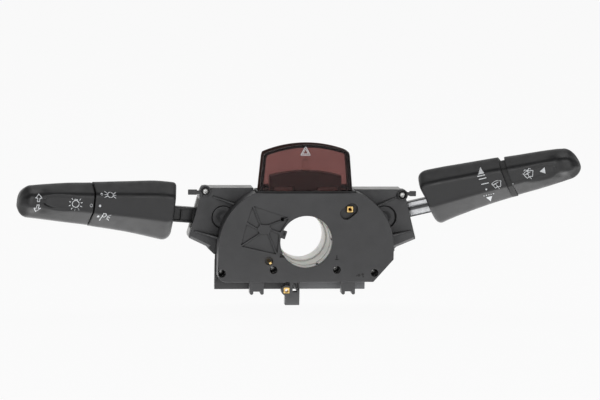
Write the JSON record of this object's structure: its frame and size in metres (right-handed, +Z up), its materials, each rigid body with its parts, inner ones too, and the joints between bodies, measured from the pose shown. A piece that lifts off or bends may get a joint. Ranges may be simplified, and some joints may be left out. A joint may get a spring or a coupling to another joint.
{
  "type": "combination stalk switch",
  "caption": "Steering column switch carrier with a light stalk, a wiper stalk with a push cap and a red hazard button on top.",
  "frame": {"origin": "on the column axis, at the rear end of the column sleeve", "axes": "+Y along the column axis, away from the driver; +X towards the tip of the wiper stalk; +Z up"},
  "size_m": [0.4219, 0.0678, 0.119],
  "materials": {
    "cover_plastic": "matte dark grey moulded plastic",
    "frame_plastic": "matte black moulded plastic",
    "stalk_plastic": "fine grained black plastic",
    "satin_plastic": "satin grey plastic",
    "natural_plastic": "uncoloured off-white plastic",
    "red_lens": "clear dark red plastic",
    "steel": "zinc plated steel",
    "aluminium": "extruded aluminium",
    "brass": "turned brass",
    "tin": "tinned terminals",
    "board": "printed circuit board",
    "bulb_glass": "small clear bulb"
  },
  "bodies": {
    "carrier": {"front_cover": "cover_plastic", "main_frame": "frame_plastic", "column_sleeve": "natural_plastic", "clamp_band": "steel", "clamp_screw": "steel", "clamp_nut": "steel", "cover_screws": "steel", "case_screws": "steel", "frame_screws": "steel", "square_nuts": "brass", "horn_bush": "frame_plastic", "horn_spring": "steel", "cancel_pawl_pin": "steel", "cancel_spring": "steel", "hazard_base": "frame_plastic", "hazard_core": "satin_plastic", "hazard_bulb": "bulb_glass", "hazard_springs": "steel", "connector_housing": "satin_plastic", "connector_terminals": "tin", "left_case": "natural_plastic", "left_case_lid": "cover_plastic", "left_pivot_pin": "steel", "left_detent": "frame_plastic", "left_contact_board": "board", "left_connector": "frame_plastic", "left_terminals": "tin", "right_case": "natural_plastic", "right_case_lid": "cover_plastic", "right_pivot_pin": "steel", "right_detent": "frame_plastic", "right_contact_board": "board", "right_connector": "frame_plastic", "right_terminals": "tin"},
    "left_swivel": {"left_yoke": "natural_plastic", "left_yoke_pin": "steel", "left_plunger": "natural_plastic"},
    "left_stalk": {"left_arm": "frame_plastic", "left_sleeve": "stalk_plastic"},
    "light_knob": {"left_knob": "stalk_plastic"},
    "right_stalk": {"right_yoke": "natural_plastic", "right_yoke_pin": "steel", "right_plunger": "natural_plastic", "right_arm": "aluminium", "right_sleeve": "stalk_plastic", "right_cap_guide": "frame_plastic", "right_cap_spring": "steel"},
    "wash_cap": {"right_cap": "stalk_plastic"},
    "hazard_button": {"hazard_lens": "red_lens"},
    "horn_contact": {"horn_pin": "brass"},
    "pawl": {"cancel_pawl": "cover_plastic"}
  },
  "joints": [
    {"name": "left_up_down", "type": "hinge", "parent": "carrier", "child": "left_swivel", "pos_m": [-0.0606, -0.0216, 0.0165], "axis": [0, 1, 0], "range_deg": [-7, 7]},
    {"name": "left_push_pull", "type": "hinge", "parent": "left_swivel", "child": "left_stalk", "pos_m": [-0.07054, -0.0216, 0.01758], "axis": [0.108, 0, 0.9942], "range_deg": [-5, 5]},
    {"name": "light_twist", "type": "hinge", "parent": "left_stalk", "child": "light_knob", "pos_m": [-0.07054, -0.0216, 0.01758], "axis": [-0.9603, -0.2588, 0.1043], "range_deg": [-32, 66]},
    {"name": "right_up_down", "type": "hinge", "parent": "carrier", "child": "right_stalk", "pos_m": [0.0606, -0.0216, 0.0165], "axis": [0, -1, 0], "range_deg": [-6, 12]},
    {"name": "wash_push", "type": "slide", "parent": "right_stalk", "child": "wash_cap", "axis": [-0.9317, 0.2588, -0.2549], "range_m": [0, 0.004], "stiffness_N_per_m": 600, "springref_m": -0.004, "deforming": ["right_cap_spring"]},
    {"name": "hazard_push", "type": "slide", "parent": "carrier", "child": "hazard_button", "axis": [0, 0, -1], "range_m": [0, 0.004], "stiffness_N_per_m": 800, "springref_m": -0.004, "deforming": ["hazard_springs"]},
    {"name": "horn_press", "type": "slide", "parent": "carrier", "child": "horn_contact", "axis": [0, 1, 0], "range_m": [0, 0.005], "stiffness_N_per_m": 200, "springref_m": -0.003, "deforming": ["horn_spring"]},
    {"name": "pawl_swing", "type": "hinge", "parent": "carrier", "child": "pawl", "pos_m": [-0.0275, -0.042, 0.0092], "axis": [0, 1, 0], "range_deg": [-10, 10], "stiffness_Nm_per_rad": 0.05}
  ]
}
